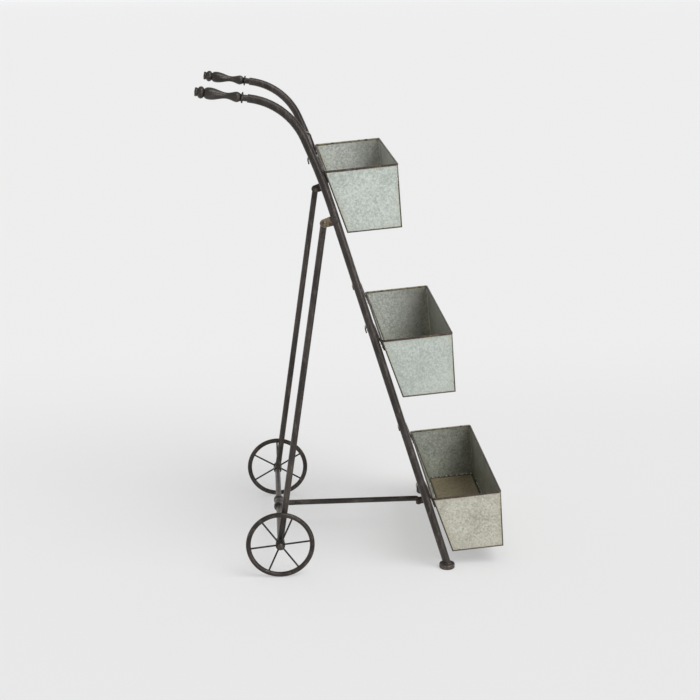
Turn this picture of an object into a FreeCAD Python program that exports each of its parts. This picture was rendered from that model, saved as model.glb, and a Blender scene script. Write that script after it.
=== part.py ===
import FreeCAD, Part
import math
import os

from FreeCAD import Placement, Rotation, Vector

# Three-tier flower cart stand: two bent tube rails with turned grips, two rear legs on a wheeled axle,
# a hooked stay between them, and three galvanised planters hung on crossbars.
# Millimetres. X is across, Y runs to the rear where the handles point, Z is up, and the floor is z = 0.
# Everything is laid out from the middle between the two feet, and moved to the middle of the depth last.

# ---------------------------------------------------------------- driving dimensions

rail_half_spacing = 213.0        # middle of the cart to the middle of a rail
rail_diameter = 16.0
tube_wall = 1.5
rail_lean = 17.0                 # degrees from upright, tops to the rear
rail_straight = 771.0            # foot to the start of the bend
sweep_radius = 1240.0            # slow curve below the handle bend
sweep_turn = 7.0                 # degrees
handle_radius = 130.0            # handle bend
handle_turn = 57.9               # degrees
handle_run = 4.0                 # straight end of the rail

foot_diameter = 32.0
foot_height = 10.0
foot_edge = 2.2

crossbar_diameter = 13.0
crossbar_setback = 1.0           # crossbars behind the middle of the rails
lowest_level = 171.5             # foot to the lowest planter's crossbar, along the rail
level_spacing = 353.0
level_names = ("bottom", "middle", "top")
stay_level = 60.0                # foot to the stay's crossbar, along the rail
stay_crossbar_diameter = 12.0

pivot_level = 757.0              # foot to the leg pivots, along the rail
pivot_standoff = 23.5            # leg pivot behind the middle of the rail
lug_thickness = 4.0
lug_end_radius = 8.2
lug_root_radius = 9.4
pivot_bolt_diameter = 6.0
bolt_head_diameter = 10.0
bolt_head_height = 3.4
bolt_head_edge = 1.19            # straight side of the head, under its dome
bolt_end = 0.8                   # bolt past its nut
nut_diameter = 10.4
nut_height = 4.6

leg_diameter = 13.0
tongue_thickness = 8.2           # flattened top of a leg
tongue_length = 19.0
axle_setback = 343.5             # feet to the axle, on the floor
wheel_diameter = 140.0
rim_diameter = 10.0              # round bar of the rim
spoke_diameter = 3.6
spoke_count = 6
left_spoke_turn = -6.0           # degrees, how far the left wheel is turned at rest
right_spoke_turn = 30.0
hub_diameter = 19.0
hub_waist_diameter = 15.0
hub_length = 12.4
hub_flange = 2.48                # straight edge at each end of the hub
axle_diameter = 12.0
axle_shoulder = 1.1              # full diameter of the axle past its eyes
journal_diameter = 10.0
eye_diameter = 18.0
eye_length = 12.5
washer_diameter = 17.0
washer_thickness = 1.0
cap_diameter = 13.0
cap_length = 6.4
cap_edge = 2.88                  # straight side of the cap, under its dome
cap_wall = 2.0                   # top of the cap over the axle's end
collar_diameter = 21.5
collar_length = 8.0
collar_chamfer = 1.0
collar_offset = 19.0             # middle of the axle to the middle of a collar

stay_diameter = 11.6
stay_bend_radius = 8.0
stay_end_drop = 13.4             # turned-down end below the bar's centre line
stay_end_edge = 2.32             # rounding of the turned-down end
stay_pin_drop = 5.4              # hinge pin below the bar's centre line
stay_pin_standoff = 18.7         # hinge pin behind the middle of the rails
stay_pin_diameter = 4.6
stay_pin_head = 7.5
stay_pin_head_height = 1.8
stay_pin_head_edge = 1.08        # rounding of the head
ear_thickness = 3.0
ear_end_radius = 4.6
ear_root_radius = 5.0
hook_shank_height = 8.4
hook_shank_width = 12.0
hook_width = 28.0
hook_thickness = 3.0
hook_tooth = 5.0                 # tooth below the middle of the axle
hook_tooth_slope = 1.0           # outer edge of the tooth above its inner edge
hook_crown = 120.0               # degrees, where the arch runs out towards the shank
hook_brow = 2.2                  # run of the slope from the arch to the shank, for each unit of its drop
hook_reach = 35.0                # end of the round bar to the middle of the axle
hook_throat = 45.0               # degrees, slope of the hook's mouth

grip_tang = 9.0                  # length inside the rail
grip_neck_radius = 6.174
grip_collar_radius = 10.6
grip_flare_radius = 9.7
grip_waist_radius = 5.8
grip_bulb_radius = 11.4
grip_ball_radius = 11.4
grip_button_radius = 8.4
grip_collar_edge = 0.9           # rounding of the collar
grip_collar_place = 9.9          # this and the next places are measured from the rail's end
grip_collar_half_width = 1.5
grip_flare_root = 12.6
grip_flare_rise = 15.8
grip_flare_place = 19.4
grip_flare_fall = 28.9
grip_waist_place = 40.6
grip_bulb_rise = 51.3
grip_bulb_swell = 60.8
grip_bulb_place = 70.5
grip_bulb_fall = 76.8
grip_ball_root = 81.2
grip_ball_place = 87.0
grip_ball_end = 92.6
grip_button_root = 93.8
grip_button_low = 94.2
grip_button_place = 96.4
grip_button_high = 98.4
grip_length = 99.6

sheet = 1.0                      # planter sheet
planter_tilt = 4.8               # degrees, front of the planter up
planter_depth = 139.9            # rim, front to back
planter_height = 123.5
planter_back_slope = 32.7        # how far the back wall comes forward on its way down
planter_front_slope = 1.1        # how far the front wall goes back on its way down
planter_overhang = 0.2           # end of the rim past the middle of a rail
planter_end_slope = 9.2          # how far an end wall comes in on its way down
floor_inset = 5.0                # floor above the lower edge
floor_seat = 0.1                 # edge of the floor past the middle of the walls' sheet
bead_diameter = 3.6
bead_corner = 5.0
rim_drop = 22.5                  # rim below the middle of its crossbar

strap_thickness = 2.5
strap_width = 16.0
strap_inset = 22.0               # middle of a rail to the middle of a strap
strap_arch_room = 2.0            # arch wider than the crossbar, on the radius
strap_tail = 4.6                 # straight tail behind the crossbar
strap_neck = 1.08                # bend below the rim, where the strap leaves the wall
tab_top = 7.0                    # riveted tab below the rim
tab_bottom = 24.0
rivet_diameter = 3.2
rivet_head_diameter = 6.4
rivet_head_height = 1.4
rivet_places = (11.0, 19.0)      # below the rim

# ---------------------------------------------------------------- clearances

slip = 0.05                      # radial, parts pushed together and fixed
running = 0.08                   # radial, turning fits
side_gap = 0.3                   # beside moving parts
hub_gap = 0.55                   # wheel hub to its washer
tang_gap = 0.2                   # grip's tang to the bore of the rail
hook_gap = 0.5                   # hook to axle
strap_gap = 0.4                  # strap's arch to the top of its crossbar
bead_gap = 0.2                   # strap to the planter's bead
rim_gap = 0.3                    # planter rim to the rails
lap = 0.2                        # how far a cutting shape passes the face that it cuts

# ---------------------------------------------------------------- small helpers

RAIL_RADIUS = rail_diameter / 2
LEG_RADIUS = leg_diameter / 2
AXLE_RADIUS = axle_diameter / 2
CROSSBAR_RADIUS = crossbar_diameter / 2
STAY_CROSSBAR_RADIUS = stay_crossbar_diameter / 2
STAY_RADIUS = stay_diameter / 2
BEAD_RADIUS = bead_diameter / 2
X_AXIS = Vector(1, 0, 0)


def polar(angle, length=1.0):
    """Side-plane vector at an angle in degrees from the rear, turning upwards."""
    turn = math.radians(angle)
    return Vector(0, length * math.cos(turn), length * math.sin(turn))


def lean_vector(lean, length=1.0):
    """Side-plane vector that leans to the rear by an angle in degrees from upright."""
    return polar(90 - lean, length)


def at_x(point, x):
    return Vector(x, point.y, point.z)


def rod(start, end, radius):
    """Round bar between two points."""
    return Part.makeCylinder(radius, (end - start).Length, start, end - start)


def cross_rod(point, radius, x0, x1):
    """Round bar along X through a point of the side plane."""
    return rod(at_x(point, min(x0, x1)), at_x(point, max(x0, x1)), radius)


def side_face(edges):
    return Part.Face(Part.Wire(edges))


def polygon(points):
    """Straight edges through the points and back to the first."""
    ends = list(points[1:]) + [points[0]]
    return [Part.makeLine(a, b) for a, b in zip(points, ends)]


def arc(start, middle, end):
    return Part.Arc(start, middle, end).toShape()


def plate(face, x0, x1):
    """Side-plane face made into a plate from x0 to x1."""
    low = min(x0, x1)
    part = face.extrude(Vector(abs(x1 - x0), 0, 0))
    part.translate(Vector(low, 0, 0))
    return part


def link_plate(a, a_radius, b, b_radius, x0, x1):
    """Plate with two round ends joined by their common tangents."""
    along = b - a
    length = along.Length
    heading = math.degrees(math.atan2(along.z, along.y))
    spread = math.degrees(math.acos((a_radius - b_radius) / length))
    a_up = a + polar(heading + spread, a_radius)
    b_up = b + polar(heading + spread, b_radius)
    a_down = a + polar(heading - spread, a_radius)
    b_down = b + polar(heading - spread, b_radius)
    edges = [
        Part.makeLine(a_up, b_up),
        arc(b_up, b + polar(heading, b_radius), b_down),
        Part.makeLine(b_down, a_down),
        arc(a_down, a + polar(heading + 180, a_radius), a_up),
    ]
    return plate(side_face(edges), x0, x1)


def turned(profile, base, direction):
    """Solid of revolution: profile edges lie in local XZ, and local Z becomes the given direction."""
    solid = Part.Face(Part.Wire(profile)).revolve(Vector(0, 0, 0), Vector(0, 0, 1), 360)
    solid.Placement = Placement(base, Rotation(Vector(0, 0, 1), direction))
    return solid


def dome(edge_radius, edge_height, top):
    """Arc in local XZ from the edge of a domed end to its top. The dome's middle is on the same axis."""
    rise = top - edge_height
    sphere = (edge_radius ** 2 + rise ** 2) / (2 * abs(rise))
    half_angle = math.asin(edge_radius / sphere) / 2
    drop = sphere * (1 - math.cos(half_angle))
    middle = Vector(sphere * math.sin(half_angle), 0, top - math.copysign(drop, rise))
    return Vector(edge_radius, 0, edge_height), middle, Vector(0, 0, top)


def both_sides(make):
    """One piece on each side of the cart, as one group."""
    return Part.makeCompound([make(-1), make(1)])


def one_solid(shape):
    """The single solid of a fused or cut shape."""
    clean = shape.removeSplitter()
    if len(clean.Solids) != 1:
        raise ValueError("expected one solid, got %d" % len(clean.Solids))
    return clean.Solids[0]


# ---------------------------------------------------------------- layout of the side plane

FOOT_TOP = Vector(0, 0, foot_height)
RAIL_UP = lean_vector(rail_lean)
RAIL_BACK = lean_vector(rail_lean + 90)
SWEEP_TOP_LEAN = rail_lean + sweep_turn
HANDLE_LEAN = SWEEP_TOP_LEAN + handle_turn


def bend_point(start, lean0, radius, turn):
    """Point reached on an arc that leaves start at lean0 and turns to the rear by turn degrees."""
    centre = start + lean_vector(lean0 + 90, radius)
    return centre - lean_vector(lean0 + turn + 90, radius)


SWEEP_START = FOOT_TOP + RAIL_UP * rail_straight
SWEEP_END = bend_point(SWEEP_START, rail_lean, sweep_radius, sweep_turn)
HANDLE_START = bend_point(SWEEP_END, SWEEP_TOP_LEAN, handle_radius, handle_turn)
RAIL_END = HANDLE_START + lean_vector(HANDLE_LEAN, handle_run)


def rail_place(along, behind=0.0):
    """Point at a distance along the rail's centre line, and behind it. Covers the straight and the sweep."""
    if along <= rail_straight:
        return FOOT_TOP + RAIL_UP * along + RAIL_BACK * behind
    turn = math.degrees((along - rail_straight) / sweep_radius)
    point = bend_point(SWEEP_START, rail_lean, sweep_radius, turn)
    return point + lean_vector(rail_lean + turn + 90, behind)


def rail_lean_at(along):
    return rail_lean + math.degrees(max(0.0, along - rail_straight) / sweep_radius)


PIVOT = rail_place(pivot_level, pivot_standoff)
WHEEL_RADIUS = wheel_diameter / 2
AXLE = Vector(0, axle_setback, WHEEL_RADIUS)
LEG_DOWN = (AXLE - PIVOT).normalize()
STAY_BAR = rail_place(stay_level)
STAY_PIN = STAY_BAR + RAIL_BACK * stay_pin_standoff
STAY_PIN.z = AXLE.z - stay_pin_drop
LEVELS = [lowest_level + level_spacing * step for step in range(len(level_names))]

# The topmost planter's rim just clears the rails where they lean most, and the others hang alike.
TOP_LEAN = rail_lean_at(LEVELS[-1])
RIM_AHEAD = rim_drop * math.tan(math.radians(TOP_LEAN)) \
    + (RAIL_RADIUS + BEAD_RADIUS + rim_gap) / math.cos(math.radians(TOP_LEAN))

# ---------------------------------------------------------------- rails, feet and crossbars


def rail_path(x, start_along):
    start = at_x(rail_place(start_along), x)
    sweep_middle = bend_point(SWEEP_START, rail_lean, sweep_radius, sweep_turn / 2)
    handle_middle = bend_point(SWEEP_END, SWEEP_TOP_LEAN, handle_radius, handle_turn / 2)
    return Part.Wire([
        Part.makeLine(start, at_x(SWEEP_START, x)),
        arc(at_x(SWEEP_START, x), at_x(sweep_middle, x), at_x(SWEEP_END, x)),
        arc(at_x(SWEEP_END, x), at_x(handle_middle, x), at_x(HANDLE_START, x)),
        Part.makeLine(at_x(HANDLE_START, x), at_x(RAIL_END, x)),
    ])


def rail_sweep(x, radius):
    """Bar of round section along the rail's path, passing a little below the foot's top."""
    start_along = -rail_diameter
    start = at_x(rail_place(start_along), x)
    section = Part.Wire(Part.Circle(start, RAIL_UP, radius).toShape())
    return rail_path(x, start_along).makePipe(Part.Face(section))


def above_feet():
    """Block of space over the plane of the feet's tops."""
    reach = 4 * rail_half_spacing
    return Part.makeBox(reach, 6 * reach, 6 * reach, Vector(-reach / 2, -3 * reach, foot_height))


SPACE = above_feet()
RAIL_BARS = {side: rail_sweep(side * rail_half_spacing, RAIL_RADIUS).common(SPACE) for side in (-1, 1)}


def rail(side):
    bore = rail_sweep(side * rail_half_spacing, RAIL_RADIUS - tube_wall)
    return one_solid(RAIL_BARS[side].cut(bore))


def foot(side):
    """Turned disc that the rail is welded on."""
    radius = foot_diameter / 2
    disc = Part.makeCylinder(radius, foot_height, Vector(side * rail_half_spacing, 0, 0))
    rims = [edge for edge in disc.Edges if len(edge.Vertexes) == 1]
    return disc.makeFillet(foot_edge, rims)


def crossbar(along, radius=CROSSBAR_RADIUS, setback=crossbar_setback):
    """Bar welded between the rails, with ends coped to them."""
    bar = cross_rod(rail_place(along, setback), radius, -rail_half_spacing, rail_half_spacing)
    for side in (-1, 1):
        bar = bar.cut(RAIL_BARS[side])
    return max(bar.Solids, key=lambda solid: solid.Volume)


# ---------------------------------------------------------------- grips


def grip_point(radius, place):
    """Point of the grip's outline in local XZ: Z runs from the rail's end to the tip."""
    return Vector(radius, 0, place)


def grip_body():
    """Smooth curve over the flare, the waist and the bulb."""
    curve = Part.BSplineCurve()
    curve.interpolate([
        grip_point(grip_neck_radius, grip_flare_root),
        grip_point(grip_flare_radius * 0.88, grip_flare_rise),
        grip_point(grip_flare_radius, grip_flare_place),
        grip_point(grip_flare_radius * 0.80, grip_flare_fall),
        grip_point(grip_waist_radius, grip_waist_place),
        grip_point(grip_bulb_radius * 0.68, grip_bulb_rise),
        grip_point(grip_bulb_radius * 0.90, grip_bulb_swell),
        grip_point(grip_bulb_radius, grip_bulb_place),
        grip_point(grip_bulb_radius * 0.92, grip_bulb_fall),
        grip_point(grip_bulb_radius * 0.65, grip_ball_root),
    ])
    return curve.toShape()


def grip_profile():
    """Half outline of the turned grip, closed along its axis."""
    tang_radius = RAIL_RADIUS - tube_wall - tang_gap
    collar_start = grip_collar_place - grip_collar_half_width
    collar_end = grip_collar_place + grip_collar_half_width
    tang_end = grip_point(0, -grip_tang)
    tang_low = grip_point(tang_radius, -grip_tang)
    tang_high = grip_point(tang_radius, 0)
    neck_low = grip_point(grip_neck_radius, 0)
    neck_high = grip_point(grip_neck_radius, collar_start - lap)
    collar_low = grip_point(grip_collar_radius - grip_collar_edge, collar_start)
    collar_crown = grip_point(grip_collar_radius, grip_collar_place)
    collar_high = grip_point(grip_collar_radius - grip_collar_edge, collar_end)
    flare_root = grip_point(grip_neck_radius, grip_flare_root)
    ball_low = grip_point(grip_bulb_radius * 0.65, grip_ball_root)
    ball_crown = grip_point(grip_ball_radius, grip_ball_place)
    ball_high = grip_point(grip_ball_radius * 0.68, grip_ball_end)
    button_root = grip_point(grip_button_radius - 1.0, grip_button_root)
    button_low = grip_point(grip_button_radius - 0.4, grip_button_low)
    button_crown = grip_point(grip_button_radius, grip_button_place)
    button_high = grip_point(grip_button_radius - 0.5, grip_button_high)
    tip = grip_point(0, grip_length)
    return [
        Part.makeLine(tang_end, tang_low),
        Part.makeLine(tang_low, tang_high),
        Part.makeLine(tang_high, neck_low),
        Part.makeLine(neck_low, neck_high),
        Part.makeLine(neck_high, collar_low),
        arc(collar_low, collar_crown, collar_high),
        Part.makeLine(collar_high, flare_root),
        grip_body(),
        arc(ball_low, ball_crown, ball_high),
        Part.makeLine(ball_high, button_root),
        Part.makeLine(button_root, button_low),
        arc(button_low, button_crown, button_high),
        Part.makeLine(button_high, tip),
        Part.makeLine(tip, tang_end),
    ]


def grip(side):
    """Turned handle whose tang sits in the end of the rail."""
    return turned(grip_profile(), at_x(RAIL_END, side * rail_half_spacing), lean_vector(HANDLE_LEAN))


# ---------------------------------------------------------------- legs and their pivots

TONGUE_OUT = tongue_thickness / 2
LUG_IN = rail_half_spacing + TONGUE_OUT + side_gap
LUG_OUT = LUG_IN + lug_thickness
BOLT_HOLE_RADIUS = pivot_bolt_diameter / 2 + running


def leg_lug(side):
    """Plate on the outside of the rail that carries the leg's pivot."""
    root = PIVOT - RAIL_BACK * (pivot_standoff - lug_root_radius / 2)
    blank = link_plate(PIVOT, lug_end_radius, root, lug_root_radius, side * LUG_IN, side * LUG_OUT)
    hole = cross_rod(PIVOT, pivot_bolt_diameter / 2 + slip, side * (LUG_IN - lap), side * (LUG_OUT + lap))
    return one_solid(blank.cut(hole).cut(RAIL_BARS[side]))


NUT_OUT = rail_half_spacing - TONGUE_OUT - side_gap
NUT_IN = NUT_OUT - nut_height


def pivot_bolt(side):
    """Domed bolt through the lug and the leg."""
    radius = bolt_head_diameter / 2
    shank = pivot_bolt_diameter / 2
    length = LUG_OUT - NUT_IN + bolt_end
    profile = [
        Part.makeLine(Vector(0, 0, -length), Vector(shank, 0, -length)),
        Part.makeLine(Vector(shank, 0, -length), Vector(shank, 0, 0)),
        Part.makeLine(Vector(shank, 0, 0), Vector(radius, 0, 0)),
        Part.makeLine(Vector(radius, 0, 0), Vector(radius, 0, bolt_head_edge)),
        arc(*dome(radius, bolt_head_edge, bolt_head_height)),
        Part.makeLine(Vector(0, 0, bolt_head_height), Vector(0, 0, -length)),
    ]
    return turned(profile, at_x(PIVOT, side * LUG_OUT), X_AXIS * side)


def hexagon(centre, across_corners):
    corners = [centre + polar(60 * step, across_corners / 2) for step in range(6)]
    return side_face(polygon(corners))


def pivot_nut(side):
    """Nut on the inner end of the pivot bolt."""
    blank = plate(hexagon(PIVOT, nut_diameter), side * NUT_IN, side * NUT_OUT)
    hole = cross_rod(PIVOT, pivot_bolt_diameter / 2 + slip, side * (NUT_IN - lap), side * (NUT_OUT + lap))
    return one_solid(blank.cut(hole))


def leg(side):
    """Tube with a flattened, drilled top, standing on the axle eye."""
    x = side * rail_half_spacing
    top = at_x(PIVOT, x)
    bottom = at_x(AXLE, x)
    tongue_end = top + LEG_DOWN * tongue_length
    bar = rod(top, bottom, LEG_RADIUS)
    bar = bar.fuse(cross_rod(PIVOT, LEG_RADIUS, x - TONGUE_OUT, x + TONGUE_OUT))
    for face_side in (-1, 1):
        face = x + face_side * TONGUE_OUT
        outer = x + face_side * leg_diameter
        flat_end = PIVOT + LEG_DOWN * (tongue_length - leg_diameter)
        flat = link_plate(PIVOT, leg_diameter, flat_end, leg_diameter * 0.999, face, outer)
        bar = bar.cut(flat)
    bore = rod(tongue_end + LEG_DOWN * leg_diameter, bottom, LEG_RADIUS - tube_wall)
    hole = cross_rod(PIVOT, BOLT_HOLE_RADIUS, x - leg_diameter, x + leg_diameter)
    eye = cross_rod(AXLE, eye_diameter / 2, x - eye_diameter, x + eye_diameter)
    return max(bar.cut(bore).cut(hole).cut(eye).Solids, key=lambda solid: solid.Volume)


# ---------------------------------------------------------------- axle and what sits on it

# From the eyes outwards: shoulder, washer, hub and cap.
SHOULDER = rail_half_spacing + eye_length / 2 + axle_shoulder
HUB_IN = SHOULDER + washer_thickness + hub_gap
HUB_OUT = HUB_IN + hub_length
WHEEL_HALF_TRACK = (HUB_IN + HUB_OUT) / 2
CAP_IN = HUB_OUT + side_gap
AXLE_END = CAP_IN + cap_length - cap_wall


def ring(point, outer, inner, x0, x1):
    """Flat ring about an axis along X."""
    blank = cross_rod(point, outer, x0, x1)
    low = min(x0, x1) - lap
    high = max(x0, x1) + lap
    return one_solid(blank.cut(cross_rod(point, inner, low, high)))


def axle():
    """Bar with a journal turned on each end."""
    bar = cross_rod(AXLE, AXLE_RADIUS, -SHOULDER, SHOULDER)
    for side in (-1, 1):
        bar = bar.fuse(cross_rod(AXLE, journal_diameter / 2, side * (SHOULDER - lap), side * AXLE_END))
    return one_solid(bar)


def axle_eye(side):
    x = side * rail_half_spacing
    return ring(AXLE, eye_diameter / 2, AXLE_RADIUS + slip, x - eye_length / 2, x + eye_length / 2)


def axle_collar(side):
    x = side * collar_offset
    blank = ring(AXLE, collar_diameter / 2, AXLE_RADIUS + slip, x - collar_length / 2, x + collar_length / 2)
    around = math.pi * collar_diameter
    outer_edges = [edge for edge in blank.Edges if abs(edge.Length - around) < lap]
    return blank.makeChamfer(collar_chamfer, outer_edges)


def axle_washer(side):
    return ring(AXLE, washer_diameter / 2, journal_diameter / 2 + slip,
                side * SHOULDER, side * (SHOULDER + washer_thickness))


def axle_cap(side):
    """Domed cap pushed on the journal outside the hub."""
    radius = cap_diameter / 2
    bore = journal_diameter / 2 + slip
    depth = AXLE_END - CAP_IN
    profile = [
        Part.makeLine(Vector(bore, 0, 0), Vector(radius, 0, 0)),
        Part.makeLine(Vector(radius, 0, 0), Vector(radius, 0, cap_edge)),
        arc(*dome(radius, cap_edge, cap_length)),
        Part.makeLine(Vector(0, 0, cap_length), Vector(0, 0, depth)),
        Part.makeLine(Vector(0, 0, depth), Vector(bore, 0, depth)),
        Part.makeLine(Vector(bore, 0, depth), Vector(bore, 0, 0)),
    ]
    return turned(profile, at_x(AXLE, side * CAP_IN), X_AXIS * side)


# ---------------------------------------------------------------- wheels

RIM_CENTRE_RADIUS = WHEEL_RADIUS - rim_diameter / 2
HUB_RADIUS = hub_diameter / 2
HUB_WAIST = hub_waist_diameter / 2


def wheel_centre(side):
    return at_x(AXLE, side * WHEEL_HALF_TRACK)


def wheel_rim(side):
    return Part.makeTorus(RIM_CENTRE_RADIUS, rim_diameter / 2, wheel_centre(side), X_AXIS)


def hub_blank(side):
    """Spool-shaped hub before it is bored, waisted where the spokes are set."""
    half = hub_length / 2
    waist_end = half - hub_flange
    profile = [
        Part.makeLine(Vector(0, 0, -half), Vector(HUB_RADIUS, 0, -half)),
        Part.makeLine(Vector(HUB_RADIUS, 0, -half), Vector(HUB_RADIUS, 0, -waist_end)),
        arc(Vector(HUB_RADIUS, 0, -waist_end), Vector(HUB_WAIST, 0, 0), Vector(HUB_RADIUS, 0, waist_end)),
        Part.makeLine(Vector(HUB_RADIUS, 0, waist_end), Vector(HUB_RADIUS, 0, half)),
        Part.makeLine(Vector(HUB_RADIUS, 0, half), Vector(0, 0, half)),
        Part.makeLine(Vector(0, 0, half), Vector(0, 0, -half)),
    ]
    return turned(profile, wheel_centre(side), X_AXIS)


def wheel_hub(side):
    centre = wheel_centre(side)
    bore = cross_rod(centre, journal_diameter / 2 + running, centre.x - hub_length, centre.x + hub_length)
    return one_solid(hub_blank(side).cut(bore))


def wheel_spokes(side):
    """Round spokes, coped to the hub's waist and to the rim."""
    turn = left_spoke_turn if side < 0 else right_spoke_turn
    centre = wheel_centre(side)
    hub = hub_blank(side)
    rim = wheel_rim(side)
    spokes = []
    for step in range(spoke_count):
        heading = polar(turn + 360.0 * step / spoke_count)
        spoke = rod(centre, centre + heading * RIM_CENTRE_RADIUS, spoke_diameter / 2)
        spokes.append(one_solid(spoke.cut(rim).cut(hub)))
    return Part.makeCompound(spokes)


# ---------------------------------------------------------------- the stay

EAR_IN = STAY_RADIUS + side_gap
EAR_OUT = EAR_IN + ear_thickness
STAY_BEND_START = Vector(0, STAY_PIN.y + stay_bend_radius, AXLE.z)
STAY_BEND_END = Vector(0, STAY_PIN.y, AXLE.z - stay_bend_radius)
STAY_TIP = Vector(0, STAY_PIN.y, AXLE.z - stay_end_drop)
STAY_REAR = Vector(0, AXLE.y - hook_reach, AXLE.z)


def stay_ears():
    """Two ears welded behind the lowest crossbar, one on each side of the stay's end."""
    ears = []
    for side in (-1, 1):
        blank = link_plate(STAY_PIN, ear_end_radius, STAY_BAR, ear_root_radius, side * EAR_IN, side * EAR_OUT)
        hole_radius = stay_pin_diameter / 2 + slip
        hole = cross_rod(STAY_PIN, hole_radius, side * (EAR_IN - lap), side * (EAR_OUT + lap))
        crossbar_body = cross_rod(STAY_BAR, STAY_CROSSBAR_RADIUS, -hook_width, hook_width)
        ears.append(one_solid(blank.cut(hole).cut(crossbar_body)))
    return Part.makeCompound(ears)


def stay_pin():
    """Headed pin through both ears, riveted over at its other end."""
    pin_end = EAR_OUT + stay_pin_head_height / 2
    pin = cross_rod(STAY_PIN, stay_pin_diameter / 2, -pin_end, pin_end)
    for side in (-1, 1):
        face = side * (EAR_OUT + slip)
        head = cross_rod(STAY_PIN, stay_pin_head / 2, face, face + side * stay_pin_head_height)
        edges = [edge for edge in head.Edges
                 if len(edge.Vertexes) == 1 and abs(edge.BoundBox.XMin) > abs(face) + lap]
        pin = pin.fuse(head.makeFillet(stay_pin_head_edge, edges))
    return one_solid(pin)


def stay_bar():
    """Round bar with its front end bent down and drilled for the hinge pin."""
    corner = Vector(0, STAY_BEND_START.y, STAY_BEND_END.z)
    middle = corner + polar(135, stay_bend_radius)
    path = Part.Wire([
        Part.makeLine(STAY_REAR, STAY_BEND_START),
        arc(STAY_BEND_START, middle, STAY_BEND_END),
        Part.makeLine(STAY_BEND_END, STAY_TIP),
    ])
    section = Part.Wire(Part.Circle(STAY_REAR, Vector(0, -1, 0), STAY_RADIUS).toShape())
    bar = path.makePipe(Part.Face(section))
    tip_edges = [edge for edge in bar.Edges
                 if len(edge.Vertexes) == 1 and edge.BoundBox.ZMax < STAY_TIP.z + lap]
    bar = bar.makeFillet(stay_end_edge, tip_edges)
    hole = cross_rod(STAY_PIN, stay_pin_diameter / 2 + running, -stay_diameter, stay_diameter)
    return one_solid(bar.cut(hole))


def stay_hook():
    """Flat hook on the rear end of the stay: a sloped mouth, an arch over the axle and a tooth behind it."""
    inner = AXLE_RADIUS + hook_gap
    outer = inner + hook_thickness
    half = hook_shank_height / 2
    throat = 180 - hook_throat
    throat_top = AXLE + polar(throat, inner)
    run = (throat_top.z - AXLE.z + half) / math.tan(math.radians(hook_throat))
    throat_foot = Vector(0, throat_top.y - run, AXLE.z - half)
    crown_front = AXLE + polar(hook_crown, outer)
    brow_drop = crown_front.z - AXLE.z - half
    shank_top = Vector(0, crown_front.y - brow_drop * hook_brow, AXLE.z + half)
    tooth_in = AXLE + Vector(0, inner, -hook_tooth)
    tooth_out = AXLE + Vector(0, outer, hook_tooth_slope - hook_tooth)
    edges = [
        Part.makeLine(STAY_REAR + Vector(0, 0, -half), throat_foot),
        Part.makeLine(throat_foot, throat_top),
        arc(throat_top, AXLE + polar(throat / 2, inner), AXLE + polar(0, inner)),
        Part.makeLine(AXLE + polar(0, inner), tooth_in),
        Part.makeLine(tooth_in, tooth_out),
        Part.makeLine(tooth_out, AXLE + polar(0, outer)),
        arc(AXLE + polar(0, outer), AXLE + polar(hook_crown / 2, outer), crown_front),
        Part.makeLine(crown_front, shank_top),
        Part.makeLine(shank_top, STAY_REAR + Vector(0, 0, half)),
        Part.makeLine(STAY_REAR + Vector(0, 0, half), STAY_REAR + Vector(0, 0, -half)),
    ]
    blank = plate(side_face(edges), -hook_width / 2, hook_width / 2)
    return one_solid(blank.common(hook_plan()))


def hook_plan():
    """Fishtail outline of the hook seen from above."""
    rear = AXLE.y + hook_reach
    wide = AXLE.y - AXLE_RADIUS - hook_thickness
    low = AXLE.z - hook_reach
    narrow = hook_shank_width / 2
    broad = hook_width / 2
    outline = [
        Vector(-narrow, STAY_REAR.y - lap, low),
        Vector(narrow, STAY_REAR.y - lap, low),
        Vector(narrow, (STAY_REAR.y + wide) / 2, low),
        Vector(broad, wide, low),
        Vector(broad, rear, low),
        Vector(-broad, rear, low),
        Vector(-broad, wide, low),
        Vector(-narrow, (STAY_REAR.y + wide) / 2, low),
    ]
    return Part.Face(Part.Wire(polygon(outline))).extrude(Vector(0, 0, 2 * hook_reach))


# ---------------------------------------------------------------- planters

PLANTER_UP = lean_vector(planter_tilt)
PLANTER_AHEAD = lean_vector(planter_tilt - 90)
RIM_HALF_WIDTH = rail_half_spacing + planter_overhang
STRAP_HALF_SPACING = rail_half_spacing - strap_inset


def planter_place(rim, ahead, down, x=0.0):
    """Point in a planter, measured ahead of and down from its back rim."""
    return at_x(rim + PLANTER_AHEAD * ahead - PLANTER_UP * down, x)


def back_rim(along):
    return rail_place(along) + Vector(0, -RIM_AHEAD, -rim_drop)


def planter_corners(rim, down, inset):
    """Corners of a planter's walls at a depth, set in from the middle of the sheet."""
    share = down / planter_height
    back = planter_back_slope * share + inset
    front = planter_depth - planter_front_slope * share - inset
    half = RIM_HALF_WIDTH - planter_end_slope * share - inset
    corners = [(back, -half), (back, half), (front, half), (front, -half)]
    return [planter_place(rim, ahead, down, x) for ahead, x in corners]


def planter_block(rim, top, bottom, inset):
    """Solid between two levels of a planter, with flat sloping sides."""
    upper = planter_corners(rim, top, inset)
    lower = planter_corners(rim, bottom, inset)
    faces = [side_face(polygon(upper)), side_face(polygon(lower))]
    for here in range(4):
        following = (here + 1) % 4
        faces.append(side_face(polygon([upper[here], upper[following], lower[following], lower[here]])))
    return Part.Solid(Part.Shell(faces))


def wall_directions():
    """Direction down a planter's back wall, and its rearward normal."""
    down = PLANTER_AHEAD * planter_back_slope - PLANTER_UP * planter_height
    down.normalize()
    return down, Vector(0, -down.z, down.y)


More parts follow.
